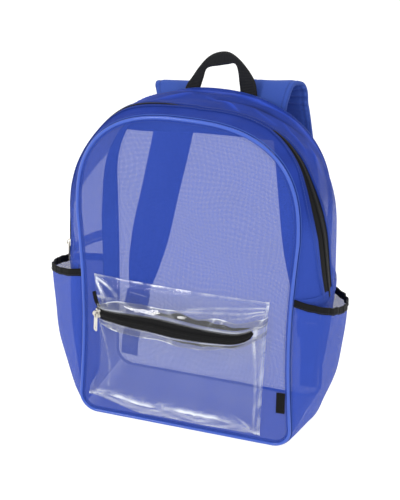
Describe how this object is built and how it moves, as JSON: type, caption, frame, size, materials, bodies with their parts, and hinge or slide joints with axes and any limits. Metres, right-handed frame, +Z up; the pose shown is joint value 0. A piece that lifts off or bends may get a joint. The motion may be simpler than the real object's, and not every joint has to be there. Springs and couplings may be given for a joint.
{
  "type": "mesh backpack",
  "caption": "Arched mesh backpack standing on its base, with a clear zipped front pocket, mesh side pockets, padded shoulder straps and a carry handle.",
  "frame": {"origin": "middle of the flat base, on the surface the bag stands on", "axes": "+Z up, -Y towards the clear front pocket, +Y towards the shoulder straps, +X to the right of a viewer in front"},
  "size_m": [0.4022, 0.2309, 0.483],
  "materials": {
    "mesh": "open mesh",
    "cloth": "plain weave",
    "piping": "satin",
    "film": "clear",
    "tape": "woven tape",
    "webbing": "ribbed webbing",
    "plastic": "moulded",
    "metal": "plated"
  },
  "bodies": {
    "bag": {"front_panel": "mesh", "back_panel": "mesh", "lower_gusset": "mesh", "zip_gusset_front": "mesh", "zip_gusset_back": "mesh", "bottle_pocket_right": "mesh", "bottle_pocket_left": "mesh", "back_yoke": "cloth", "zip_gusset_facing": "cloth", "shoulder_strap_right": "cloth", "shoulder_strap_left": "cloth", "front_piping": "piping", "back_piping": "piping", "clear_pocket_lower": "film", "clear_pocket_upper": "film", "main_zip": "tape", "pocket_zip": "tape", "pocket_binding_right": "tape", "pocket_binding_left": "tape", "side_label": "tape", "carry_handle": "webbing", "strap_webbing_right": "webbing", "strap_webbing_left": "webbing", "strap_buckle_right": "plastic", "strap_buckle_left": "plastic", "main_slider": "metal", "pocket_slider": "metal"},
    "main_pull": {"main_pull": "metal"},
    "pocket_pull": {"pocket_pull": "metal"}
  },
  "joints": [
    {"name": "main_pull_swing", "type": "hinge", "parent": "bag", "child": "main_pull", "pos_m": [-0.18224, -0.01972, 0.22282], "axis": [-0.0892, 0.996, 0], "range_deg": [0, 170]},
    {"name": "pocket_pull_swing", "type": "hinge", "parent": "bag", "child": "pocket_pull", "pos_m": [-0.11314, -0.09523, 0.16373], "axis": [-0.7264, 0.6872, 0], "range_deg": [0, 170]}
  ]
}
